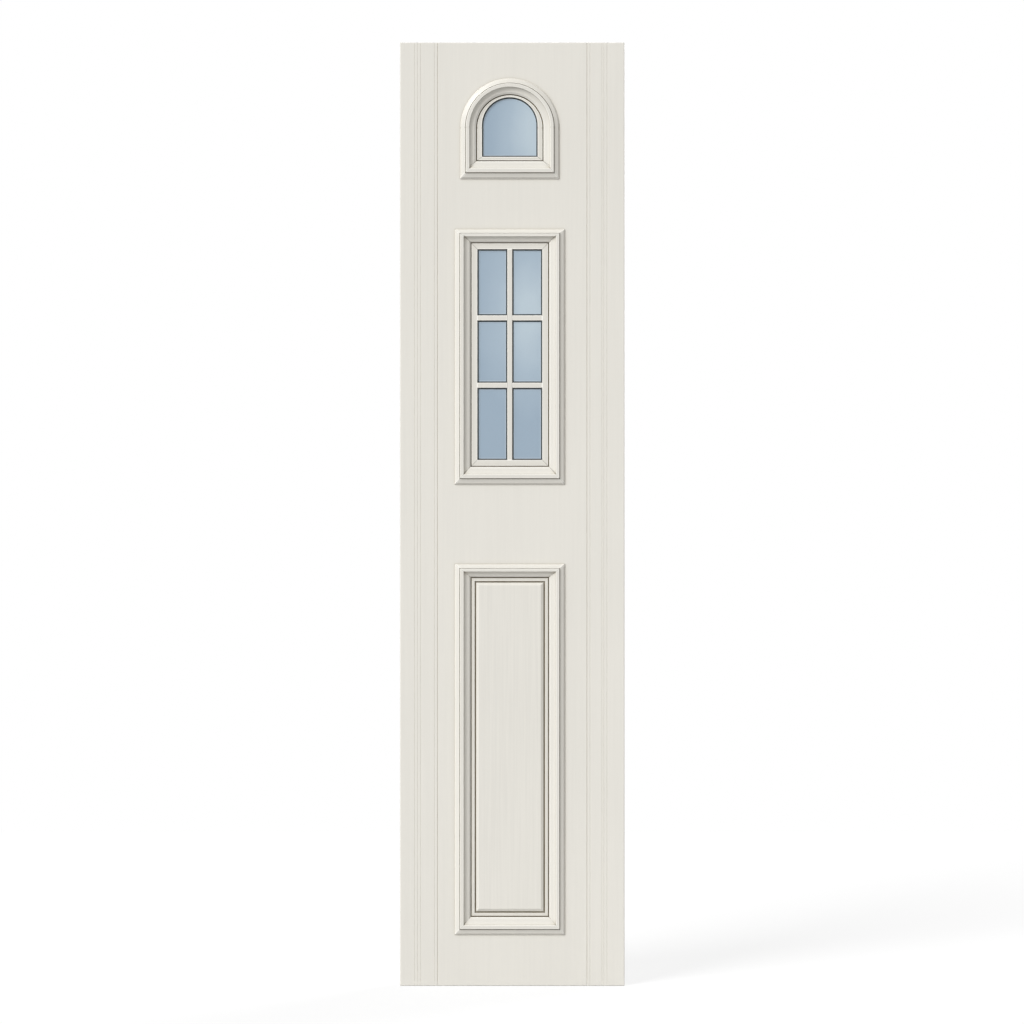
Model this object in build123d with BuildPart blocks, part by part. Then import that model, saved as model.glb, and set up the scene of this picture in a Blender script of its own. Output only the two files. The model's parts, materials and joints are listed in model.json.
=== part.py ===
# Narrow panelled door leaf, the smaller leaf of an unequal pair.
# Three framed inserts stand one above another on its centre line: an arched light, a tall window
# and a raised panel. Both faces of the leaf are alike.
# Frame: X across the leaf from the hinge edge, Y through its thickness with the front towards -Y,
# Z up from the foot. The origin is at the foot of the hinge edge, half-way through the thickness.

import os

from build123d import *

os.makedirs("parts", exist_ok=True)

# The leaf
leaf_width = 500.0
leaf_height = 2100.0
leaf_thickness = 40.0
edge_arris = 2.2  # rounding of the two long edges
end_arris = 1.5  # bevel of the top and bottom edges

# Edge stiles: solid timber, with fine reeds run down them beside the seam
stile_width = 83.6
hinge_reeds = (6.7, 37.7, 44.4, 51.0)  # distance of each reed from the seam
lock_reeds = (6.7, 33.3, 37.7, 44.4)
reed_width = 1.2
reed_depth = 0.4
seam_width = 0.9  # each side's share of the V at the seam
seam_depth = 0.8

# Core frame and its facings, between the edge stiles
facing_thickness = 4.0
tongue_thickness = 10.0
tongue_length = 8.0
tenon_thickness = 10.0
tenon_length = 15.0
tenon_shoulder = 14.0

# Inserts: outlines over their mouldings, stacked from the top down. The panel takes what height is
# left above the foot.
insert_shift = 5.5  # the inserts stand this much nearer the hinge edge than the leaf's middle
insert_width = 245.0
head_show = 80.0  # plain face above the arch
arch_setback = 12.5  # the arched insert is this much narrower than the others on each side
arch_jamb = 114.0  # its upright sides, below the round head
upper_show = 112.0  # plain face between the arch and the window
window_height = 568.0
middle_show = 177.0  # plain face between the window and the panel
foot_show = 114.0  # plain face below the panel

# Moulding, from its outer foot inwards. These are the widths at an insert's sides.
moulding_width = 35.0
head_spread = 0.82  # the window's and the panel's heads are narrower than their sides
sill_spread = 1.13  # and all the sills are wider
seat_width = 14.5  # the part that lies on the facing; the rest is a tongue inside the opening
tongue_depth = 1.5  # how far the tongue reaches below the leaf's face
foot_height = 0.8
foot_splay_width = 3.0
foot_splay_height = 4.4
slope_width = 10.6  # out to the nook below the crown
slope_height = 7.6
nook_width = 1.6
nook_depth = 1.2
crown_height = 11.0
crown_width = 8.0
crown_arris = 0.8
scoop_step = 1.8  # the scoop starts this much below the crown's edge
scoop_hollow = 1.1  # how far the scoop sags below a straight line
lip_width = 4.0  # the steeper lip between the scoop and the moulding's inner edge
lip_height = 3.2
lip_edge = 0.6
quirk_width = 2.4  # fine groove in the bead or the panel, along the moulding's inner edge
quirk_depth = 2.4

# Glazing
bead_thickness = 4.5
bead_show = 15.2  # flat band of the bead seen inside the moulding
arch_bead_show = 13.0  # the same beside the arched light
arch_sill_show = 10.0  # and below it
arch_sight_rise = 6.5  # the arched light's round head springs this much higher than its moulding's
pane_thickness = 4.0
pane_clearance = 3.0
spacer_width = 12.0

# Raised panel
board_clearance = 1.0
field_margin = 12.5  # flat margin between the moulding and the field's foot
field_bevel = 6.0
field_rise = 3.2
field_groove_width = 3.2
field_groove_depth = 2.8

# Worked-out places
face = leaf_thickness / 2
core_thickness = leaf_thickness - 2 * facing_thickness
seam_hinge = stile_width
seam_lock = leaf_width - stile_width
front = Plane.XZ  # its normal points out of the front face
bead_face = face - tongue_depth
pane_face = bead_face - bead_thickness
gap_face = pane_face - pane_thickness
insert_centre = leaf_width / 2 - insert_shift
arch_radius = insert_width / 2 - arch_setback
arch_spring = leaf_height - head_show - arch_radius
arch_bottom = arch_spring - arch_jamb
window_bottom = arch_bottom - upper_show - window_height
panel_bottom = foot_show
panel_height = window_bottom - middle_show - panel_bottom
opening_width = insert_width - 2 * seat_width
opening_hinge = insert_centre - opening_width / 2
opening_lock = insert_centre + opening_width / 2


def publish(name, part):
    """Name a finished piece and write it as its own STEP file."""
    part.label = name
    export_step(part, f"parts/{name}.step")


def both_faces(pattern, part):
    """Write a piece of the front face, and its mirror image on the back face."""
    publish(pattern.format("front"), part)
    with BuildPart() as behind:
        mirror(part, about=Plane.XZ)
    publish(pattern.format("back"), behind.part)


def block(low_x, high_x, low_z, high_z, thickness):
    """An upright block centred in the leaf's thickness."""
    with BuildPart() as made:
        with BuildSketch(front):
            with Locations(((low_x + high_x) / 2, (low_z + high_z) / 2)):
                Rectangle(high_x - low_x, high_z - low_z)
        extrude(amount=thickness / 2, both=True)
    return made.part


def upright_rectangle(plane, width, bottom, height):
    """A rectangle on the inserts' centre line."""
    with BuildSketch(plane) as made:
        with Locations((insert_centre, bottom + height / 2)):
            Rectangle(width, height)
    return made.sketch


def arched_outline(plane, radius, spring, bottom):
    """A round-headed outline on the inserts' centre line."""
    left, right = insert_centre - radius, insert_centre + radius
    with BuildSketch(plane) as made:
        with BuildLine():
            Line((left, bottom), (right, bottom))
            Line((right, bottom), (right, spring))
            ThreePointArc((right, spring), (insert_centre, spring + radius), (left, spring))
            Line((left, spring), (left, bottom))
        make_face()
    return made.sketch


def spread_inset(inset, spread):
    """How far an outline stands in at a head or a sill, given how far it does at the sides."""
    in_moulding = min(inset, moulding_width)
    return in_moulding * spread + inset - in_moulding


def framed_outline(plane, inset, bottom, height):
    """A square-headed insert's outline, set in from the outer edge of its mouldings."""
    sill = spread_inset(inset, sill_spread)
    head = spread_inset(inset, head_spread)
    return upright_rectangle(plane, insert_width - 2 * inset, bottom + sill, height - sill - head)


def window_outline(plane, inset):
    return framed_outline(plane, inset, window_bottom, window_height)


def panel_outline(plane, inset):
    return framed_outline(plane, inset, panel_bottom, panel_height)


def arch_outline(plane, inset):
    sill = spread_inset(inset, sill_spread)
    return arched_outline(plane, arch_radius - inset, arch_spring, arch_bottom + sill)


def leaf_side(plane=Plane.YZ):
    """The leaf seen edge-on, with its top and bottom edges eased."""
    with BuildSketch(plane) as made:
        with Locations((0, leaf_height / 2)):
            Rectangle(leaf_thickness, leaf_height)
        chamfer(made.vertices(), length=end_arris)
    return made.sketch


# Edge stiles
def edge_stile(edge, seam, reeds):
    """One edge stile: a ploughed and reeded section run the leaf's full height."""
    outward = 1 if edge > seam else -1
    with BuildPart() as stile:
        with BuildSketch(Plane.XY) as section:
            with Locations(((edge + seam) / 2, 0)):
                Rectangle(stile_width, leaf_thickness)
            fillet(section.vertices().sort_by_distance((edge, 0))[:2], radius=edge_arris)
            with Locations((seam + outward * tongue_length / 2, 0)):
                Rectangle(tongue_length, tongue_thickness, mode=Mode.SUBTRACT)
            for side in (-face, face):
                inward = -1 if side > 0 else 1
                with Locations([(seam + outward * reed, side) for reed in reeds]):
                    Polygon(
                        (-reed_width / 2, 0),
                        (0, inward * reed_depth),
                        (reed_width / 2, 0),
                        align=None,
                        mode=Mode.SUBTRACT,
                    )
                with Locations((seam, side)):
                    Polygon(
                        (-seam_width, 0),
                        (0, inward * seam_depth),
                        (seam_width, 0),
                        align=None,
                        mode=Mode.SUBTRACT,
                    )
        extrude(amount=leaf_height)
        extrude(leaf_side(), amount=leaf_width, mode=Mode.INTERSECT)
    return stile.part


publish("hinge_stile", edge_stile(0, seam_hinge, hinge_reeds))
publish("lock_stile", edge_stile(leaf_width, seam_lock, lock_reeds))

# Core frame: two inner stiles, tongued into the edge stiles, and four rails tenoned between them.
# Each rail is given as its foot, its head, and the foot and head of its tenons.
sill_seat = spread_inset(seat_width, sill_spread)
head_seat = spread_inset(seat_width, head_spread)
panel_opening_foot = panel_bottom + sill_seat
panel_opening_head = panel_bottom + panel_height - head_seat
window_opening_foot = window_bottom + sill_seat
window_opening_head = window_bottom + window_height - head_seat
arch_opening_foot = arch_bottom + sill_seat
rails = {
    "bottom_rail": (0, panel_opening_foot, tenon_shoulder),
    "middle_rail": (panel_opening_head, window_opening_foot, tenon_shoulder),
    "upper_rail": (window_opening_head, arch_opening_foot, tenon_shoulder),
    "top_rail": (arch_opening_foot, leaf_height, arch_spring - arch_opening_foot),
}


def tenon_pair(foot, head, lower_shoulder):
    """A block through a rail and its two tenons."""
    return block(
        opening_hinge - tenon_length,
        opening_lock + tenon_length,
        foot + lower_shoulder,
        head - tenon_shoulder,
        tenon_thickness,
    )


for name, (foot, head, lower_shoulder) in rails.items():
    with BuildPart() as rail:
        add(block(opening_hinge, opening_lock, foot, head, core_thickness))
        add(tenon_pair(foot, head, lower_shoulder))
        if name == "top_rail":
            extrude(arch_outline(front, seat_width), amount=face, both=True, mode=Mode.SUBTRACT)
    publish(name, rail.part)

for name, seam, opening in (
    ("hinge_side_inner_stile", seam_hinge, opening_hinge),
    ("lock_side_inner_stile", seam_lock, opening_lock),
):
    outward = 1 if seam > opening else -1
    tongue_end = seam + outward * tongue_length
    with BuildPart() as inner_stile:
        add(block(min(seam, opening), max(seam, opening), 0, leaf_height, core_thickness))
        add(block(min(seam, tongue_end), max(seam, tongue_end), 0, leaf_height, tongue_thickness))
        for foot, head, lower_shoulder in rails.values():
            add(tenon_pair(foot, head, lower_shoulder), mode=Mode.SUBTRACT)
    publish(name, inner_stile.part)

# Facings: one sheet on each face of the core, cut out for the three inserts
with BuildPart() as facing:
    with BuildSketch(Plane.XY) as section:
        with Locations(((seam_hinge + seam_lock) / 2, facing_thickness / 2 - face)):
            Rectangle(seam_lock - seam_hinge, facing_thickness)
        with Locations((seam_hinge, -face), (seam_lock, -face)):
            Polygon(
                (-seam_width, 0), (0, seam_depth), (seam_width, 0), align=None, mode=Mode.SUBTRACT
            )
    extrude(amount=leaf_height)
    extrude(leaf_side(), amount=leaf_width, mode=Mode.INTERSECT)
    for outline in (window_outline, panel_outline, arch_outline):
        extrude(outline(front, seat_width), amount=leaf_thickness, mode=Mode.SUBTRACT)
both_faces("{}_facing", facing.part)


# Mouldings
def moulding_section(plane, spread=1.0):
    """The moulding's section: X runs inwards from its foot, Y stands out of the leaf's face."""
    crown_start = (slope_width + nook_width) * spread
    crown_end = crown_start + crown_width * spread
    crown_ease = crown_arris * spread
    crown_edge = crown_height - crown_arris
    scoop_head = crown_edge - scoop_step
    scoop_end = (moulding_width - lip_width) * spread
    inner_edge = moulding_width * spread
    seat_end = seat_width * spread
    with BuildSketch(plane) as section:
        with BuildLine():
            Polyline(
                (0, 0),
                (0, foot_height),
                (foot_splay_width * spread, foot_splay_height),
                (slope_width * spread, slope_height),
                ((slope_width + nook_width / 2) * spread, slope_height - nook_depth),
                (crown_start, crown_edge),
                (crown_start + crown_ease, crown_height),
                (crown_end - crown_ease, crown_height),
                (crown_end, crown_edge),
                (crown_end, scoop_head),
            )
            ThreePointArc(
                (crown_end, scoop_head),
                ((crown_end + scoop_end) / 2, (scoop_head + lip_height) / 2 - scoop_hollow),
                (scoop_end, lip_height),
            )
            Polyline(
                (scoop_end, lip_height),
                (inner_edge, lip_edge),
                (inner_edge, -tongue_depth),
                (seat_end, -tongue_depth),
                (seat_end, 0),
                (0, 0),
            )
        make_face()
    return section.sketch


def moulding_run(start, end, spread=1.0, spread_before=1.0, spread_after=1.0):
    """A length of moulding along an insert's edge, going round it anticlockwise from the front.

    Each end is mitred to the neighbour's spread, or left square where there is none.
    """
    along = (end - start).normalized()
    inward = Vector(0, -1, 0).cross(along)
    with BuildPart() as run:
        extrude(
            moulding_section(Plane(origin=start, x_dir=inward, z_dir=along), spread),
            amount=(end - start).length,
        )
        if spread_before:
            mitre = along * spread - inward * spread_before
            split(bisect_by=Plane(origin=start, z_dir=mitre), keep=Keep.TOP)
        if spread_after:
            mitre = along * -spread - inward * spread_after
            split(bisect_by=Plane(origin=end, z_dir=mitre), keep=Keep.TOP)
    return run.part


def corner(x, z):
    """A corner of an insert's outline, on the leaf's front face."""
    return Vector(x, -face, z)


left, right = insert_centre - insert_width / 2, insert_centre + insert_width / 2
for insert, bottom, height in (
    ("window", window_bottom, window_height),
    ("panel", panel_bottom, panel_height),
):
    top = bottom + height
    sill = moulding_run(corner(left, bottom), corner(right, bottom), spread=sill_spread)
    lock_side = moulding_run(
        corner(right, bottom),
        corner(right, top),
        spread_before=sill_spread,
        spread_after=head_spread,
    )
    head = moulding_run(corner(right, top), corner(left, top), spread=head_spread)
    hinge_side = moulding_run(
        corner(left, top),
        corner(left, bottom),
        spread_before=head_spread,
        spread_after=sill_spread,
    )
    both_faces(insert + "_{}_sill_moulding", sill)
    both_faces(insert + "_{}_lock_side_moulding", lock_side)
    both_faces(insert + "_{}_head_moulding", head)
    both_faces(insert + "_{}_hinge_side_moulding", hinge_side)

square = 0
arch_left, arch_right = insert_centre - arch_radius, insert_centre + arch_radius
arch_sill = moulding_run(
    corner(arch_left, arch_bottom), corner(arch_right, arch_bottom), spread=sill_spread
)
arch_lock_side = moulding_run(
    corner(arch_right, arch_bottom),
    corner(arch_right, arch_spring),
    spread_before=sill_spread,
    spread_after=square,
)
arch_hinge_side = moulding_run(
    corner(arch_left, arch_spring),
    corner(arch_left, arch_bottom),
    spread_before=square,
    spread_after=sill_spread,
)
both_faces("arch_{}_sill_moulding", arch_sill)
both_faces("arch_{}_lock_side_moulding", arch_lock_side)
both_faces("arch_{}_hinge_side_moulding", arch_hinge_side)
with BuildPart() as arch_head:
    springing = Plane(origin=corner(arch_left, arch_spring), x_dir=(1, 0, 0), z_dir=(0, 0, -1))
    revolve(
        moulding_section(springing),
        axis=Axis((insert_centre, 0, arch_spring), (0, 1, 0)),
        revolution_arc=180,
    )
both_faces("arch_{}_head_moulding", arch_head.part)

# Quirk: a fine groove round each insert, beside the moulding
def quirk(outline):
    """The body of the groove, on the front face's bead or panel."""
    with BuildPart() as groove:
        extrude(outline(front.offset(bead_face), moulding_width), amount=-quirk_depth)
        extrude(
            outline(front.offset(bead_face), moulding_width + quirk_width),
            amount=-quirk_depth,
            mode=Mode.SUBTRACT,
        )
    return groove.part


# Glazing: a sealed unit of two panes round a spacer, held between flat beads
bead_plane = front.offset(pane_face)
pane_plane = front.offset(gap_face)
sight_inset = moulding_width + bead_show

with BuildPart() as window_bead:
    extrude(window_outline(bead_plane, seat_width), amount=bead_thickness)
    extrude(window_outline(bead_plane, sight_inset), amount=bead_thickness, mode=Mode.SUBTRACT)
    add(quirk(window_outline), mode=Mode.SUBTRACT)
both_faces("window_{}_bead", window_bead.part)

with BuildPart() as arch_bead:
    extrude(arch_outline(bead_plane, seat_width), amount=bead_thickness)
    extrude(
        arched_outline(
            bead_plane,
            arch_radius - moulding_width - arch_bead_show,
            arch_spring + arch_sight_rise,
            arch_bottom + spread_inset(moulding_width, sill_spread) + arch_sill_show,
        ),
        amount=bead_thickness,
        mode=Mode.SUBTRACT,
    )
    add(quirk(arch_outline), mode=Mode.SUBTRACT)
both_faces("arch_{}_bead", arch_bead.part)

for light, outline in (("window", window_outline), ("arch", arch_outline)):
    with BuildPart() as pane:
        extrude(outline(pane_plane, seat_width + pane_clearance), amount=pane_thickness)
    both_faces(light + "_{}_pane", pane.part)
    with BuildPart() as spacer:
        extrude(outline(front, seat_width + pane_clearance), amount=gap_face, both=True)
        extrude(
            outline(front, seat_width + pane_clearance + spacer_width),
            amount=gap_face,
            both=True,
            mode=Mode.SUBTRACT,
        )
    publish(light + "_spacer", spacer.part)

# Raised panel: one board, fielded on both faces
field_inset = moulding_width + field_margin
margin_plane = front.offset(bead_face)
with BuildPart() as raised_panel:
    extrude(panel_outline(front, seat_width + board_clearance), amount=bead_face)
    add(quirk(panel_outline), mode=Mode.SUBTRACT)
    with BuildSketch(margin_plane):
        add(panel_outline(Plane.XY, field_inset - field_groove_width))
        add(panel_outline(Plane.XY, field_inset), mode=Mode.SUBTRACT)
    extrude(amount=-field_groove_depth, mode=Mode.SUBTRACT)
    field_foot = panel_outline(margin_plane, field_inset)
    field_top = panel_outline(margin_plane.offset(field_rise), field_inset + field_bevel)
    loft([field_foot.face(), field_top.face()], ruled=True)
    mirror(about=Plane.XZ)
publish("raised_panel", raised_panel.part)
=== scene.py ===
# %% [markdown]
# # A narrow painted door leaf with an arched light, a barred window and a raised panel
# What is left to do here is what a joiner, a glazier and a painter would still add: the glazing bars
# and gaskets, the lacquer, the satin glass and the bare ends of the core timber, and then the studio.
# Everything is in metres. X runs across the leaf from its hinge edge, Z up from its foot, and the
# front face looks towards -Y.

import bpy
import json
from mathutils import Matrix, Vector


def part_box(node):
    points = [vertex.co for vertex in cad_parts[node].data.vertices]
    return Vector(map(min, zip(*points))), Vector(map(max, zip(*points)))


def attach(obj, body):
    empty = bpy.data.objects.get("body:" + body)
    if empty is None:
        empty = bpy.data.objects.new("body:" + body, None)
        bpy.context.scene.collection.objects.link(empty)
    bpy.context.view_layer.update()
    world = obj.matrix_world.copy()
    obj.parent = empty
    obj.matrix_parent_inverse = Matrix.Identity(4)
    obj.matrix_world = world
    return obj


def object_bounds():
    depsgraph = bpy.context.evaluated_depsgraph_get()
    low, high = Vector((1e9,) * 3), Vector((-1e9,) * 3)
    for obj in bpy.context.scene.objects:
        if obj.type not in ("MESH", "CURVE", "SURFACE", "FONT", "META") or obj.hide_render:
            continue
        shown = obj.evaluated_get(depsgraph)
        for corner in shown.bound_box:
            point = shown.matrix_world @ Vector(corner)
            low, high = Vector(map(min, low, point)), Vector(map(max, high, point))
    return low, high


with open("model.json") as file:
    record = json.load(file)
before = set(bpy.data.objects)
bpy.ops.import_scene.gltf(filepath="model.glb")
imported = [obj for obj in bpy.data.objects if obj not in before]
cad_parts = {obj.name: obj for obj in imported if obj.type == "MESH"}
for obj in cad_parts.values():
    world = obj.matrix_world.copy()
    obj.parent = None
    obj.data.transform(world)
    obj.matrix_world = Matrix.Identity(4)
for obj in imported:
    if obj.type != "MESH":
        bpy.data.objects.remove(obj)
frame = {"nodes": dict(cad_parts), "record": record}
cad_box = [list(corner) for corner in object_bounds()]

import json
import math

import bmesh
import bpy
from mathutils import Matrix, Vector

scene = bpy.context.scene
nodes = frame["nodes"]
slots = {part["node"]: part["material_slot"] for part in frame["record"]["subparts"]}
print("CAD box", cad_box, "nodes", len(nodes))

# %% [markdown]
# The leaf's own pieces give the places of everything that is added, so that no size is typed twice.
# The opening in a bead lies inside its box, so the opening's edges are looked up among the bead's
# vertices.

# %% The window's light
face_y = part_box("hinge_stile")[0].y
bead_low, bead_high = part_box("window_front_bead")
bead_y = bead_low.y
glass_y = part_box("window_front_pane")[0].y
middle_x = (bead_low.x + bead_high.x) / 2
middle_z = (bead_low.z + bead_high.z) / 2


def places_between(name, axis, low, high):
    """Where a node has vertices along one axis, between two limits."""
    places = sorted({round(v.co[axis], 5) for v in nodes[name].data.vertices})
    return [place for place in places if low < place < high]


sight_left = places_between("window_front_bead", 0, bead_low.x, middle_x)[-1]
sight_right = places_between("window_front_bead", 0, middle_x, bead_high.x)[0]
sight_bottom = places_between("window_front_bead", 2, bead_low.z, middle_z)[-1]
sight_top = places_between("window_front_bead", 2, middle_z, bead_high.z)[0]
print("window light", sight_left, sight_right, sight_bottom, sight_top)

# %% [markdown]
# The arched light is a rectangle under a half circle. Its lower corners and its springing line are
# corners of the bead's opening too.

# %% The arched light
arch_low, arch_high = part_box("arch_front_bead")
arch_x = (arch_low.x + arch_high.x) / 2
jamb_height = 0.05  # above the bead's foot, still below its springing line
same_place = 1e-5  # vertices no further apart than this count as level
arch_bottom = places_between("arch_front_bead", 2, arch_low.z, arch_low.z + jamb_height)[-1]
opening_corners = [
    v.co for v in nodes["arch_front_bead"].data.vertices if abs(v.co.z - arch_bottom) < same_place
]
arch_radius = max(corner.x for corner in opening_corners) - arch_x
arch_spring = max(
    v.co.z for v in nodes["arch_front_bead"].data.vertices
    if abs(v.co.x - arch_x - arch_radius) < same_place
)
print("arched light: radius", arch_radius, "foot", arch_bottom, "springing", arch_spring)

# %% [markdown]
# ## The camera
# A product picture like this one is taken square on with a long lens, so that the leaf's edges stay
# parallel. A 100 mm lens far enough back does it: the distance comes from the height that the
# picture takes in.

# %% Camera
view_height = 2.2790  # metres of the leaf's face from the picture's top to its bottom
aim = Vector((0.2494, face_y, 1.0549))  # the point of the face in the picture's middle
lens = 100.0  # millimetres, like the sensor's width
sensor = 36.0

camera_data = bpy.data.cameras.new("camera")
camera_data.lens = lens
camera_data.sensor_width = sensor
camera = bpy.data.objects.new("camera", camera_data)
scene.collection.objects.link(camera)
camera.location = aim - Vector((0, view_height * lens / sensor, 0))
camera.rotation_euler = (math.pi / 2, 0, 0)
scene.camera = camera
scene.view_settings.view_transform = "Standard"
print("camera distance", round(aim.y - camera.location.y, 3))

# %% [markdown]
# ## The light
# The relief of the mouldings only shows if the light comes from one side. Here it comes from the
# upper left, in front of the leaf, and about half of all light is even light from all round. The
# key lamp is wide, so its shadows are soft. A second lamp lights the back, and doesn't reach the
# front face. It stands lower, because the leaf's top catches both lamps and would burn out.

# %% Lamps
from_upper_left = Vector((-1.0, -1.0, 1.0)).normalized()
from_behind = Vector((1.0, 1.0, 0.4)).normalized()
key_strength = 2.78
back_strength = 2.1
lamp_width = math.radians(25)  # how wide a lamp looks from the leaf


def sun(name, direction, strength):
    data = bpy.data.lights.new(name, "SUN")
    data.energy = strength
    data.angle = lamp_width
    lamp = bpy.data.objects.new(name, data)
    lamp.rotation_euler = direction.to_track_quat("Z", "Y").to_euler()
    scene.collection.objects.link(lamp)


sun("key_light", from_upper_left, key_strength)
sun("back_light", from_behind, back_strength)
print("lamps", key_strength, "in front and", back_strength, "behind")

# %% [markdown]
# ## Small helpers for node trees
# Each finish is a node tree on Object coordinates, which stay fixed to the leaf. A helper adds a
# node and sets or links its inputs in one go, so that each recipe below reads as a list of steps.

# %% Node helpers


def node(tree, kind, inputs=None, **settings):
    made = tree.nodes.new(kind)
    for key, value in settings.items():
        setattr(made, key, value)
    for key, value in (inputs or {}).items():
        if isinstance(value, bpy.types.NodeSocket):
            tree.links.new(value, made.inputs[key])
        else:
            made.inputs[key].default_value = value
    return made


def maths(tree, operation, first, second=0.0):
    return node(tree, "ShaderNodeMath", {0: first, 1: second}, operation=operation).outputs[0]


def vector_maths(tree, operation, first, second=(0, 0, 0)):
    return node(tree, "ShaderNodeVectorMath", {0: first, 1: second}, operation=operation)


def fade(tree, value, start, end):
    """1 up to the start, falling to 0 at the end."""
    inputs = {"Value": value, "From Min": start, "From Max": end, "To Min": 1.0, "To Max": 0.0}
    return node(tree, "ShaderNodeMapRange", inputs).outputs[0]


def object_place(tree, scale=(1, 1, 1)):
    place = node(tree, "ShaderNodeTexCoord").outputs["Object"]
    return node(tree, "ShaderNodeMapping", {"Vector": place, "Scale": scale}).outputs["Vector"]


def noise(tree, vector, scale, detail=3.0, roughness=0.5):
    inputs = {"Vector": vector, "Scale": scale, "Detail": detail, "Roughness": roughness}
    return node(tree, "ShaderNodeTexNoise", inputs).outputs["Fac"]


def ramp(tree, factor, stops):
    made = node(tree, "ShaderNodeValToRGB", {"Fac": factor})
    elements = made.color_ramp.elements
    while len(elements) < len(stops):
        elements.new(0.5)  # its place is set below
    for element, (position, color) in zip(elements, stops):
        element.position = position
        element.color = (*color, 1.0)
    return made.outputs["Color"]


def grey(value):
    return (value, value, value)


def mix_color(tree, factor, first, second, blend="MIX"):
    made = node(tree, "ShaderNodeMix", data_type="RGBA", blend_type=blend)
    # The node has sockets for every type of data: 0 is the factor, 6 and 7 are the two colours.
    sockets = (made.inputs[0], made.inputs[6], made.inputs[7])
    for socket, value in zip(sockets, (factor, first, second)):
        if isinstance(value, bpy.types.NodeSocket):
            tree.links.new(value, socket)
        elif isinstance(value, tuple):
            socket.default_value = (*value, 1.0)
        else:
            socket.default_value = value
    return made.outputs[2]


# %% [markdown]
# Colours are easiest to judge as a screen shows them, from 0 to 255. The renderer counts them
# linearly, so they are converted once, here.

# %% Materials and colours


def linear(red, green, blue):
    """A screen colour as the renderer counts it."""

    def one(value):
        value /= 255
        return value / 12.92 if value <= 0.04045 else ((value + 0.055) / 1.055) ** 2.4

    return one(red), one(green), one(blue)


def new_material(name):
    made = bpy.data.materials.new(name)
    made.use_nodes = True
    made.node_tree.nodes.clear()
    return made, made.node_tree


def surface(tree, kind, inputs):
    shader = node(tree, kind, inputs)
    out = node(tree, "ShaderNodeOutputMaterial")
    tree.links.new(shader.outputs[0], out.inputs["Surface"])


def give(obj, material):
    obj.data.materials.clear()
    obj.data.materials.append(material)


# %% [markdown]
# ## Mitre lines
# The mouldings are mitred at their corners, and so is the flat bead inside them. Even a good mitre
# shows as a hairline under paint. The joint has no width in the mesh, so the line is drawn in the
# material: how far a point lies from the line through a corner, measured in the leaf's own plane,
# and only as far as that mitre reaches.

# %% Where the mitres run


def mitre_ends(insert, corners):
    """Each mitre of an insert's mouldings, from its outer to its inner end, as seen from the front."""
    sill_low, sill_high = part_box(f"{insert}_front_sill_moulding")
    head_low, head_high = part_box(f"{insert}_front_head_moulding")
    inner_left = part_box(f"{insert}_front_hinge_side_moulding")[1].x
    inner_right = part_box(f"{insert}_front_lock_side_moulding")[0].x
    ends = {
        "lower left": ((sill_low.x, sill_low.z), (inner_left, sill_high.z)),
        "lower right": ((sill_high.x, sill_low.z), (inner_right, sill_high.z)),
        "upper left": ((head_low.x, head_high.z), (inner_left, head_low.z)),
        "upper right": ((head_high.x, head_high.z), (inner_right, head_low.z)),
    }
    return {corner: ends[corner] for corner in corners}


window_mitres = mitre_ends("window", ("lower left", "lower right", "upper left", "upper right"))
panel_mitres = mitre_ends("panel", ("lower left", "lower right", "upper left", "upper right"))
arch_mitres = mitre_ends("arch", ("lower left", "lower right"))
window_sight = {
    "lower left": (sight_left, sight_bottom),
    "lower right": (sight_right, sight_bottom),
    "upper left": (sight_left, sight_top),
    "upper right": (sight_right, sight_top),
}
arch_sight = {
    "lower left": (arch_x - arch_radius, arch_bottom),
    "lower right": (arch_x + arch_radius, arch_bottom),
}


def with_bead(mitres, sight):
    """The mouldings' mitres, and the bead's, which run on from them to the light's corners."""
    lines = list(mitres.values())
    lines += [(inner, sight[corner]) for corner, (_, inner) in mitres.items()]
    return lines


print("window mitres", window_mitres)

# %% Mitre lines as nodes
hairline = 0.0003  # half of a mitre line's width


def mitre_lines(tree, lines):
    """1 on a mitre line and 0 elsewhere."""
    place = node(tree, "ShaderNodeTexCoord").outputs["Object"]
    drawn = None
    for start, end in lines:
        run = Vector((end[0] - start[0], 0, end[1] - start[1]))
        across = Vector((-run.z, 0, run.x)).normalized()
        from_start = vector_maths(tree, "SUBTRACT", place, (start[0], 0, start[1])).outputs[0]
        in_plane = vector_maths(tree, "MULTIPLY", from_start, (1, 0, 1)).outputs[0]
        offset = vector_maths(tree, "DOT_PRODUCT", in_plane, across).outputs["Value"]
        reach = vector_maths(tree, "LENGTH", in_plane).outputs["Value"]
        line = fade(tree, maths(tree, "ABSOLUTE", offset), hairline, 2 * hairline)
        line = maths(tree, "MULTIPLY", line, maths(tree, "LESS_THAN", reach, run.length))
        drawn = line if drawn is None else maths(tree, "MAXIMUM", drawn, line)
    return drawn


# %% [markdown]
# ## The lacquer
# The leaf is sprayed in a warm off-white satin lacquer over timber. Up close such a coat isn't one
# flat colour: it clouds a little from pass to pass, the grain below telegraphs through as faint
# upright streaks, and the spray leaves a fine orange peel. On top of that, shade is painted into the
# quirks and recesses, so the colour deepens there, and a highlight is painted along the arrises. An
# Ambient Occlusion node finds both. Looking outwards it finds recesses, wide ones and then fine ones,
# and looking inwards it finds arrises. Close above the floor it would take the floor for a recess, and
# where the arch's head stands on its sides it would take the joint for an arris, so both places are
# left out.

# %% Lacquer material
recess_reach = 0.011  # how far round a point a wide recess is looked for
quirk_reach = 0.003  # and a fine one
arris_reach = 0.0022  # and, looking inwards, an arris
quirk_seen = (0.98, 0.8)  # what looking outwards gives in the open and in a quirk
arris_seen = (0.7, 0.98)  # what looking inwards gives on an arris and on a flat
head_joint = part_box("arch_front_head_moulding")[0].z  # where the arch's head stands on its sides

# Painted shade: the colours that a wide recess and a fine quirk darken the lacquer towards.
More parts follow.
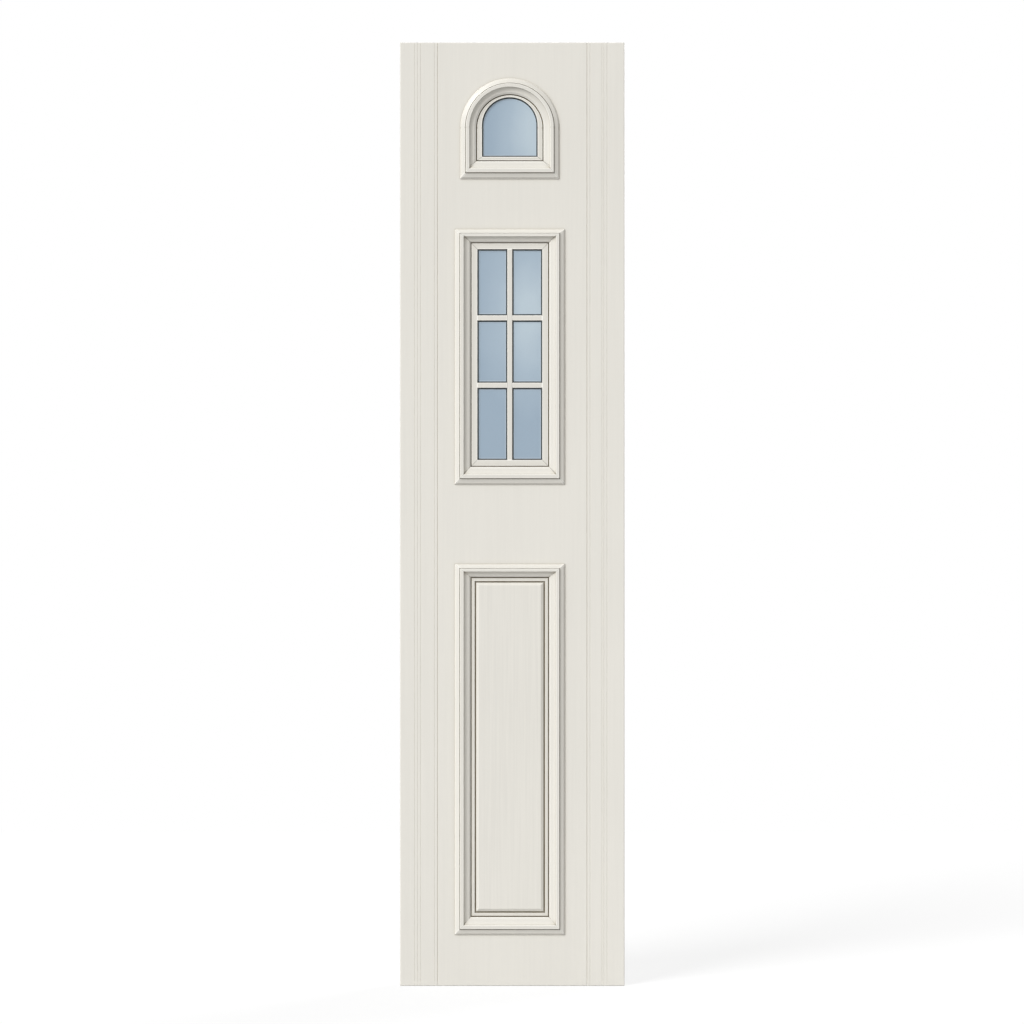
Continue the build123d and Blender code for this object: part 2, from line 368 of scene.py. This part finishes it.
painted_wide_shade = (0.42, 0.34, 0.19)  # what a wide recess leaves of a colour
painted_fine_shade = (0.34, 0.3, 0.22)  # and a fine one
dulled = 0.975  # the darker clouds, as a share of the colour
# The colour of the highlight painted along the arrises.
highlight_color = linear(250, 248, 241)
joint_color = linear(120, 116, 104)
joint_strength = 0.65


def openness(tree, reach, height):
    """1 in the open and less in a recess. Close above the floor it stays 1."""
    seen = node(tree, "ShaderNodeAmbientOcclusion", {"Distance": reach}, samples=8).outputs["AO"]
    return maths(tree, "MAXIMUM", seen, maths(tree, "LESS_THAN", height, reach))


def arris_highlight(tree, height, narrow):
    """Where a highlight is painted: 1 on an arris that stands free, falling to 0 beside it and in a
    quirk.
    """
    inputs = {"Distance": arris_reach}
    seen = node(tree, "ShaderNodeAmbientOcclusion", inputs, samples=6, inside=True, only_local=True)
    edge = fade(tree, seen.outputs["AO"], *arris_seen)
    from_joint = maths(tree, "ABSOLUTE", maths(tree, "SUBTRACT", height, head_joint))
    edge = maths(tree, "MULTIPLY", edge, maths(tree, "GREATER_THAN", from_joint, arris_reach))
    return maths(tree, "MULTIPLY", edge, fade(tree, narrow, *quirk_seen))


# Its fourth argument sets how much shade is painted into the recesses, and its fifth how much
# highlight is painted on the arrises.
def lacquer(name, base, streak_depth, shade_share, highlight_share, lines=()):
    made, tree = new_material(name)
    cloud = noise(tree, object_place(tree, (1.0, 1.0, 0.35)), scale=7.0, detail=4.0)
    upright = object_place(tree, (1.0, 1.0, 0.02))
    streak = noise(tree, upright, scale=190.0, detail=4.0, roughness=0.6)
    peel = noise(tree, object_place(tree), scale=420.0, detail=2.0)
    dull = tuple(channel * dulled for channel in base)
    color = ramp(tree, cloud, ((0.3, dull), (0.7, base)))
    grain = ramp(tree, streak, ((0.35, grey(1 - streak_depth)), (0.65, grey(1.0))))
    color = mix_color(tree, 1.0, color, grain, "MULTIPLY")
    place = node(tree, "ShaderNodeTexCoord").outputs["Object"]
    height = node(tree, "ShaderNodeSeparateXYZ", {"Vector": place}).outputs["Z"]
    # Painted shade: the colour is darkened in wide recesses and then in fine quirks.
    wide = openness(tree, recess_reach, height)
    wide_shade = ramp(tree, wide, ((0.3, painted_wide_shade), (1.0, grey(1.0))))
    color = mix_color(tree, shade_share, color, wide_shade, "MULTIPLY")
    narrow = openness(tree, quirk_reach, height)
    fine_shade = ramp(tree, narrow, ((0.3, painted_fine_shade), (0.96, grey(1.0))))
    color = mix_color(tree, shade_share, color, fine_shade, "MULTIPLY")
    # A painted highlight along the arrises.
    painted_highlight = maths(tree, "MULTIPLY", arris_highlight(tree, height, narrow), highlight_share)
    color = mix_color(tree, painted_highlight, color, highlight_color)
    if lines:
        joint = maths(tree, "MULTIPLY", mitre_lines(tree, lines), joint_strength)
        color = mix_color(tree, joint, color, joint_color)
    relief = maths(tree, "ADD", maths(tree, "MULTIPLY", streak, 0.6), peel)
    bump = node(tree, "ShaderNodeBump", {"Height": relief, "Strength": 0.12, "Distance": 0.0004})
    inputs = {
        "Base Color": color,
        "Roughness": ramp(tree, peel, ((0.3, grey(0.4)), (0.7, grey(0.5)))),
        "Specular IOR Level": 0.35,
        "Coat Weight": 0.12,
        "Coat Roughness": 0.3,
        "Normal": bump.outputs[0],
    }
    surface(tree, "ShaderNodeBsdfPrincipled", inputs)
    return made


leaf_color = linear(226, 223, 215)
# The mouldings' lacquer is written a little darker than the leaf's, though both are one paint: painted
# shade that tones down their slopes that face the lamp.
moulding_color = linear(222, 219, 211)
leaf_lacquer = lacquer("leaf_lacquer", leaf_color, streak_depth=0.02, shade_share=0.5, highlight_share=0.2)
field_lacquer = lacquer("field_lacquer", leaf_color, streak_depth=0.045, shade_share=1.0, highlight_share=0.0)

# On the mouldings shade is painted fully into the recesses, and a strong highlight is painted on the
# arrises.
on_mouldings = {"streak_depth": 0.02, "shade_share": 1.0, "highlight_share": 0.85}
window_lines = with_bead(window_mitres, window_sight)
arch_lines = with_bead(arch_mitres, arch_sight)
panel_lines = list(panel_mitres.values())
window_lacquer = lacquer("window_lacquer", moulding_color, lines=window_lines, **on_mouldings)
arch_lacquer = lacquer("arch_lacquer", moulding_color, lines=arch_lines, **on_mouldings)
panel_lacquer = lacquer("panel_lacquer", moulding_color, lines=panel_lines, **on_mouldings)
print("mitre lines", len(window_lines), len(arch_lines), len(panel_lines))

# %% Spray the lacquered pieces
insert_lacquers = {"window": window_lacquer, "arch": arch_lacquer, "panel": panel_lacquer}
for name, obj in nodes.items():
    if slots[name] == "lacquered_moulding":
        give(obj, insert_lacquers[name.split("_")[0]])
    elif slots[name] == "lacquered_leaf":
        give(obj, leaf_lacquer)
give(nodes["raised_panel"], field_lacquer)
print("lacquered", sum(slots[name].startswith("lacquered") for name in nodes), "pieces")

# %% [markdown]
# ## The bare core timber
# The core frame shows only at the top and the foot, where the lacquer stops. Its stiles and rails are
# softwood. Growth lines and pores are drawn out along the grain, which runs along each piece: upright
# in a stile and level in a rail.

# %% Timber materials
growth_lines = 150.0  # scale of the wave: a line every 4 mm or so
early_wood = linear(214, 187, 146)
late_wood = linear(190, 158, 115)


def timber(name, drawn_out):
    made, tree = new_material(name)
    inputs = {
        "Vector": object_place(tree, drawn_out),
        "Scale": growth_lines,
        "Distortion": 2.5,
        "Detail": 2.0,
        "Detail Scale": 0.3,
    }
    rings = node(tree, "ShaderNodeTexWave", inputs, bands_direction="DIAGONAL").outputs["Fac"]
    pores = noise(tree, object_place(tree, drawn_out), scale=900.0, detail=3.0)
    color = ramp(tree, rings, ((0.2, early_wood), (0.9, late_wood)))
    speckle = ramp(tree, pores, ((0.35, grey(0.88)), (0.65, grey(1.0))))
    bump = node(tree, "ShaderNodeBump", {"Height": pores, "Strength": 0.3, "Distance": 0.0004})
    inputs = {
        "Base Color": mix_color(tree, 1.0, color, speckle, "MULTIPLY"),
        "Roughness": 0.7,
        "Normal": bump.outputs[0],
    }
    surface(tree, "ShaderNodeBsdfPrincipled", inputs)
    return made


stile_timber = timber("stile_timber", (1.0, 1.0, 0.05))
rail_timber = timber("rail_timber", (0.05, 1.0, 1.0))
for name, obj in nodes.items():
    if slots[name] == "bare_timber":
        give(obj, rail_timber if name.endswith("rail") else stile_timber)
print("bare timber", [name for name in nodes if slots[name] == "bare_timber"])

# %% [markdown]
# ## The spacer bars
# Each sealed unit keeps its panes apart with a thin aluminium bar. It is all but hidden, and gets
# brushed metal with fine lines along it.

# %% Spacer material
spacer_metal, tree = new_material("spacer_metal")
brush = noise(tree, object_place(tree, (1.0, 40.0, 1.0)), scale=300.0, detail=2.0)
inputs = {
    "Base Color": ramp(tree, brush, ((0.3, grey(0.5)), (0.7, grey(0.62)))),
    "Metallic": 1.0,
    "Roughness": 0.4,
}
surface(tree, "ShaderNodeBsdfPrincipled", inputs)
for name, obj in nodes.items():
    if slots[name] == "spacer_bar":
        give(obj, spacer_metal)
print("spacer bars", [name for name in nodes if slots[name] == "spacer_bar"])

# %% [markdown]
# ## Helpers for modelling
# A block starts as a cube that is set to size and moved in edit mode, so that the object itself
# stays at the origin. Everything is deselected first, because an operator acts on all that is
# selected. What repeats is modelled once and then copied, and each copy gets a mesh of its own.

# %% Modelling helpers


def to_edit_mode(obj, kind):
    """Edit one object, with nothing in its mesh selected."""
    bpy.ops.object.select_all(action="DESELECT")
    bpy.context.view_layer.objects.active = obj
    obj.select_set(True)
    bpy.ops.object.mode_set(mode="EDIT")
    bpy.ops.mesh.select_mode(type=kind)
    bpy.ops.mesh.select_all(action="DESELECT")


def select_edges(obj, wanted):
    to_edit_mode(obj, "EDGE")
    mesh = bmesh.from_edit_mesh(obj.data)
    for edge in mesh.edges:
        if wanted(edge.verts[0].co, edge.verts[1].co):
            edge.select = True
    bmesh.update_edit_mesh(obj.data)


def select_faces(obj, wanted):
    to_edit_mode(obj, "FACE")
    mesh = bmesh.from_edit_mesh(obj.data)
    for face in mesh.faces:
        if wanted(face):
            face.select = True
    bmesh.update_edit_mesh(obj.data)


def block(name, low, high):
    """A block between two corners."""
    bpy.ops.object.select_all(action="DESELECT")
    bpy.ops.mesh.primitive_cube_add(size=1.0, location=(0, 0, 0))
    made = bpy.context.active_object
    made.name = name
    low, high = Vector(low), Vector(high)
    bpy.ops.object.mode_set(mode="EDIT")
    bpy.ops.mesh.select_all(action="SELECT")
    bpy.ops.transform.resize(value=high - low)
    bpy.ops.transform.translate(value=(low + high) / 2)
    bpy.ops.object.mode_set(mode="OBJECT")
    return made


to_axis = Matrix.Translation((-middle_x, 0, 0))
from_axis = Matrix.Translation((middle_x, 0, 0))
half_turn = from_axis @ Matrix.Rotation(math.pi, 4, "Z") @ to_axis  # about the window's middle


def copy_of(original, name, move):
    """A copy with its own mesh, moved or turned."""
    made = original.copy()
    made.data = original.data.copy()
    made.name = name
    made.data.name = name
    scene.collection.objects.link(made)
    made.data.transform(move)
    return made


def fit(obj, material):
    """Finish a new piece: its material and its body."""
    give(obj, material)
    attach(obj, "root")


# %% [markdown]
# ## The window's glazing bars
# One upright and two cross bars divide the window into six lights. They are slim bars planted on the
# glass, flush with the bead, with eased front edges. The upright runs through, and each cross bar is
# two lengths that butt against it. The middle row of lights is a little less high than the others.

# %% Sizes of the bars
upright_width = 0.011
cross_width = 0.0115
bar_ease = 0.0012
ease_steps = 3
cross_heights = {"lower": 1.3370, "upper": 1.4870}  # each cross bar's middle
upright_left = middle_x - upright_width / 2
upright_right = middle_x + upright_width / 2
row_gap = cross_heights["upper"] - cross_heights["lower"]
print("rows of lights", row_gap - cross_width, "between the cross bars")


def ease_front(bar, long_axis):
    """Bevel a bar's two long front edges."""

    def long_front_edge(a, b):
        at_front = abs(a.y - bead_y) < same_place and abs(b.y - bead_y) < same_place
        return at_front and abs(a[long_axis] - b[long_axis]) > same_place

    select_edges(bar, long_front_edge)
    bpy.ops.mesh.bevel(offset=bar_ease, segments=ease_steps, affect="EDGES")
    bpy.ops.object.mode_set(mode="OBJECT")


# %% The upright and the cross bars
upright = block(
    "window_front_upright_bar",
    (upright_left, bead_y, sight_bottom),
    (upright_right, glass_y, sight_top),
)
ease_front(upright, 2)
bars = [upright, copy_of(upright, "window_back_upright_bar", half_turn)]

lower = cross_heights["lower"]
first_cross = block(
    "window_front_lower_hinge_side_bar",
    (sight_left, bead_y, lower - cross_width / 2),
    (upright_left, glass_y, lower + cross_width / 2),
)
ease_front(first_cross, 0)
to_lock_side = Matrix.Translation((upright_right - sight_left, 0, 0))
to_upper = Matrix.Translation((0, 0, row_gap))
front_crosses = [
    first_cross,
    copy_of(first_cross, "window_front_lower_lock_side_bar", to_lock_side),
    copy_of(first_cross, "window_front_upper_hinge_side_bar", to_upper),
    copy_of(first_cross, "window_front_upper_lock_side_bar", to_lock_side @ to_upper),
]
bars += front_crosses
bars += [copy_of(bar, bar.name.replace("front", "back"), half_turn) for bar in front_crosses]
for bar in bars:
    fit(bar, window_lacquer)
print(len(bars), "bars")

# %% [markdown]
# ## The gaskets
# A dark gasket seals each light to its bars and bead. It shows as a thin dark line, darkest at the
# top and the left, where it lies in shade. Each is a frame with a sloping inner side: a solid whose
# front is inset twice, the second time down towards the glass, whose back is inset once, and whose
# two openings are then bridged.

# %% Gasket material
rubber_dark = linear(66, 70, 72)
rubber_light = linear(80, 84, 85)
gasket_rubber, tree = new_material("gasket_rubber")
scuff = noise(tree, object_place(tree), scale=350.0, detail=3.0)
bump = node(tree, "ShaderNodeBump", {"Height": scuff, "Strength": 0.15, "Distance": 0.0003})
inputs = {
    "Base Color": ramp(tree, scuff, ((0.3, rubber_dark), (0.7, rubber_light))),
    "Roughness": 0.55,
    "Specular IOR Level": 0.1,
    "Normal": bump.outputs[0],
}
surface(tree, "ShaderNodeBsdfPrincipled", inputs)

# %% Shaping a gasket
gasket_rim = 0.0006  # flat part beside the bar
gasket_slope = 0.0024  # width of the part that slopes down to the glass
gasket_width = gasket_rim + gasket_slope
gasket_rise = 0.0022  # height of the rim above the glass
gasket_edge = 0.0002  # thickness left at the glass
square_on = 0.99  # how squarely a face has to look along an axis to be picked


def hollow_out(solid):
    """Turn a solid that covers a light into the gasket round it."""
    select_faces(solid, lambda face: face.normal.y < -square_on)
    bpy.ops.mesh.inset(thickness=gasket_rim)
    bpy.ops.mesh.inset(thickness=gasket_slope, depth=gasket_edge - gasket_rise)
    bpy.ops.mesh.delete(type="FACE")
    bpy.ops.object.mode_set(mode="OBJECT")
    select_faces(solid, lambda face: face.normal.y > square_on)
    bpy.ops.mesh.inset(thickness=gasket_width)
    bpy.ops.mesh.delete(type="FACE")
    bpy.ops.mesh.select_mode(type="EDGE")
    bpy.ops.mesh.select_all(action="DESELECT")
    bpy.ops.mesh.select_non_manifold()
    bpy.ops.mesh.bridge_edge_loops()
    bpy.ops.mesh.select_all(action="SELECT")
    bpy.ops.mesh.normals_make_consistent(inside=False)
    bpy.ops.object.mode_set(mode="OBJECT")


# %% [markdown]
# The hinge-side light of each row gets its gasket first. A copy moved across the upright serves the
# light beside it, and copies turned half round serve the back.

# %% The six lights' gaskets
rows = {
    "bottom": (sight_bottom, cross_heights["lower"] - cross_width / 2),
    "middle": (cross_heights["lower"] + cross_width / 2, cross_heights["upper"] - cross_width / 2),
    "top": (cross_heights["upper"] + cross_width / 2, sight_top),
}
gaskets = []
for row, (foot, head) in rows.items():
    first = block(
        f"{row}_hinge_side_front_gasket",
        (sight_left, glass_y - gasket_rise, foot),
        (upright_left, glass_y, head),
    )
    hollow_out(first)
    second = copy_of(first, f"{row}_lock_side_front_gasket", to_lock_side)
    gaskets += [first, second]
gaskets += [copy_of(made, made.name.replace("front", "back"), half_turn) for made in gaskets]
print(len(gaskets), "gaskets, each", len(gaskets[0].data.polygons), "faces")

# %% [markdown]
# The arched light's gasket starts as a short cylinder as wide as the light. It is laid on its side
# and cut at the springing line, and the flat that this leaves is drawn down to the light's foot.

# %% The arched light's gasket
round_sides = 96
smooth_below = math.radians(20)
bpy.ops.object.select_all(action="DESELECT")
bpy.ops.mesh.primitive_cylinder_add(
    vertices=round_sides, radius=arch_radius, depth=gasket_rise, location=(0, 0, 0)
)
arch_gasket = bpy.context.active_object
arch_gasket.name = "arch_front_gasket"
bpy.ops.object.mode_set(mode="EDIT")
bpy.ops.mesh.select_all(action="SELECT")
bpy.ops.transform.rotate(value=math.pi / 2, orient_axis="X", center_override=(0, 0, 0))
bpy.ops.transform.translate(value=(arch_x, glass_y - gasket_rise / 2, arch_spring))
bpy.ops.mesh.bisect(
    plane_co=(arch_x, 0, arch_spring), plane_no=(0, 0, 1), use_fill=True, clear_inner=True
)
bpy.ops.object.mode_set(mode="OBJECT")
select_faces(arch_gasket, lambda face: face.normal.z < -square_on)
bpy.ops.mesh.extrude_region_move(
    TRANSFORM_OT_translate={"value": (0, 0, arch_bottom - arch_spring)}
)
bpy.ops.object.mode_set(mode="OBJECT")
hollow_out(arch_gasket)
bpy.ops.object.select_all(action="DESELECT")
arch_gasket.select_set(True)
bpy.context.view_layer.objects.active = arch_gasket
bpy.ops.object.shade_smooth_by_angle(angle=smooth_below)
gaskets += [arch_gasket, copy_of(arch_gasket, "arch_back_gasket", half_turn)]
for made in gaskets:
    fit(made, gasket_rubber)
print("arch gasket", [round(size, 4) for size in arch_gasket.dimensions])

# %% [markdown]
# ## The satin glass
# The panes are acid-etched: they look blue-grey and clouded, and hide what is behind them. A soft
# pool of painted light lightens their colour towards the upper lock side of the window and the lock
# side of the arch. Just inside each gasket a fine paler line is painted on, a painted highlight along
# the edge. For that line the material has to know how far a point lies from its light's nearest edge.

# %% Distance to a light's edge


def nearest(tree, value, places):
    """How far a coordinate lies from the nearest of some places."""
    gap = None
    for place in places:
        offset = maths(tree, "ABSOLUTE", maths(tree, "SUBTRACT", value, place))
        gap = offset if gap is None else maths(tree, "MINIMUM", gap, offset)
    return gap


def window_edge_gap(tree, x, z):
    uprights = (sight_left, upright_left, upright_right, sight_right)
    levels = [level for row in rows.values() for level in row]
    return maths(tree, "MINIMUM", nearest(tree, x, uprights), nearest(tree, z, levels))


def arch_edge_gap(tree, x, z):
    above = maths(tree, "MAXIMUM", maths(tree, "SUBTRACT", z, arch_spring), 0.0)
    spoke = node(tree, "ShaderNodeCombineXYZ", {0: maths(tree, "SUBTRACT", x, arch_x), 2: above})
    from_centre = vector_maths(tree, "LENGTH", spoke.outputs[0]).outputs["Value"]
    to_head = maths(tree, "SUBTRACT", arch_radius, from_centre)
    return maths(tree, "MINIMUM", to_head, maths(tree, "SUBTRACT", z, arch_bottom))


# %% Satin glass material
# From the glass's own blue-grey, lightened towards where most light is painted on.
glass_dark = linear(153, 171, 187)
glass_mid = linear(166, 183, 197)
glass_light = linear(184, 199, 209)
# The painted highlight just inside each gasket.
edge_highlight_color = linear(188, 203, 214)
edge_highlight_strength = 0.6
edge_highlight_width = 0.0022  # width of the paler line inside a gasket, with its soft edge
edge_highlight_solid = 0.7  # share of that width before it fades
cloud_share = 0.35  # how much the clouds count beside the glow


def satin_glass(name, edge_gap, painted_light_at, painted_light_reach):
    made, tree = new_material(name)
    place = node(tree, "ShaderNodeTexCoord").outputs["Object"]
    parts = node(tree, "ShaderNodeSeparateXYZ", {"Vector": place})
    x, z = parts.outputs["X"], parts.outputs["Z"]
    # A pool of painted light: the colour lightens towards one point.
    from_painted_light = vector_maths(tree, "SUBTRACT", place, painted_light_at).outputs[0]
    scaled = vector_maths(tree, "DIVIDE", from_painted_light, painted_light_reach).outputs[0]
    glow = fade(tree, vector_maths(tree, "LENGTH", scaled).outputs["Value"], 0.1, 1.0)
    cloud = noise(tree, object_place(tree, (1.0, 1.0, 0.6)), scale=16.0, detail=2.0)
    swirl = maths(tree, "MULTIPLY", maths(tree, "SUBTRACT", cloud, 0.5), cloud_share)
    lit_and_clouded = maths(tree, "ADD", glow, swirl)
    color = ramp(tree, lit_and_clouded, ((0.25, glass_dark), (0.65, glass_mid), (1.0, glass_light)))
    # The painted highlight: a fine paler line just inside each gasket.
    gap = maths(tree, "SUBTRACT", edge_gap(tree, x, z), gasket_width)
    edge_highlight = fade(tree, gap, edge_highlight_width * edge_highlight_solid, edge_highlight_width)
    color = mix_color(tree, maths(tree, "MULTIPLY", edge_highlight, edge_highlight_strength), color, edge_highlight_color)
    stipple = noise(tree, object_place(tree), scale=700.0, detail=2.0)
    speckle = ramp(tree, stipple, ((0.3, grey(0.96)), (0.7, grey(1.0))))
    color = mix_color(tree, 1.0, color, speckle, "MULTIPLY")
    bump = node(tree, "ShaderNodeBump", {"Height": stipple, "Strength": 0.1, "Distance": 0.0002})
    inputs = {
        "Base Color": color,
        "Roughness": 0.34,
        "Specular IOR Level": 0.4,
        "Coat Weight": 0.15,
        "Coat Roughness": 0.15,
        "Normal": bump.outputs[0],
    }
    surface(tree, "ShaderNodeBsdfPrincipled", inputs)
    return made


# Where each glass's pool of painted light lies, and how far it reaches.
window_painted_light = (sight_right - 0.03, 0, cross_heights["upper"] + 0.012)
arch_painted_light = (arch_x + arch_radius * 0.85, 0, arch_spring - 0.01)
no_depth = 1000.0  # the glow is alike through the glass and on both faces
window_glass = satin_glass("window_glass", window_edge_gap, window_painted_light, (0.17, no_depth, 0.3))
arch_glass = satin_glass("arch_glass", arch_edge_gap, arch_painted_light, (0.13, no_depth, 0.3))
for name, obj in nodes.items():
    if slots[name] == "satin_glass":
        give(obj, arch_glass if name.startswith("arch") else window_glass)
print("glow in the window at", window_painted_light, "and in the arch at", arch_painted_light)

# %% [markdown]
# ## Floor and backdrop
# The leaf stands before plain white. To the camera the world is white and the floor nearly so, and
# the floor keeps the leaf's soft shadow. To the leaf itself both are only as bright as the even
# light, so that no more light comes up from below than from elsewhere.

# %% World


def seen_directly(tree):
    """1 for what the camera sees, also in a gloss or through glass."""
    path = node(tree, "ShaderNodeLightPath").outputs
    seen = maths(tree, "MAXIMUM", path["Is Camera Ray"], path["Is Glossy Ray"])
    return maths(tree, "MAXIMUM", seen, path["Is Transmission Ray"])


even_strength = 0.488
world = bpy.data.worlds.new("studio")
scene.world = world
world.use_nodes = True
tree = world.node_tree
tree.nodes.clear()
white = (1.0, 1.0, 1.0, 1.0)
even_light = node(tree, "ShaderNodeBackground", {"Color": white, "Strength": even_strength})
backdrop = node(tree, "ShaderNodeBackground", {"Color": white, "Strength": 1.0})
inputs = {0: seen_directly(tree), 1: even_light.outputs[0], 2: backdrop.outputs[0]}
either = node(tree, "ShaderNodeMixShader", inputs)
node(tree, "ShaderNodeOutputWorld", {"Surface": either.outputs[0]})
print("even light", even_strength)

# %% Floor
floor_size = 6.0
tone_to_leaf = 0.5
tone_to_camera = 0.9
floor_glow = 0.75  # share of the floor that the camera sees as plain white
bpy.ops.object.select_all(action="DESELECT")
bpy.ops.mesh.primitive_plane_add(size=floor_size, location=(aim.x, 0, cad_box[0][2]))
floor = bpy.context.active_object
floor.name = "floor"
floor_white, tree = new_material("floor_white")
seen = seen_directly(tree)
tone = mix_color(tree, seen, grey(tone_to_leaf), grey(tone_to_camera))
paint = node(tree, "ShaderNodeBsdfDiffuse", {"Color": tone})
glow = node(tree, "ShaderNodeEmission", {"Color": white, "Strength": 1.0})
share = maths(tree, "MULTIPLY", seen, floor_glow)
inputs = {0: share, 1: paint.outputs[0], 2: glow.outputs[0]}
surface(tree, "ShaderNodeMixShader", inputs)
give(floor, floor_white)
print("floor", floor_size, "m wide")
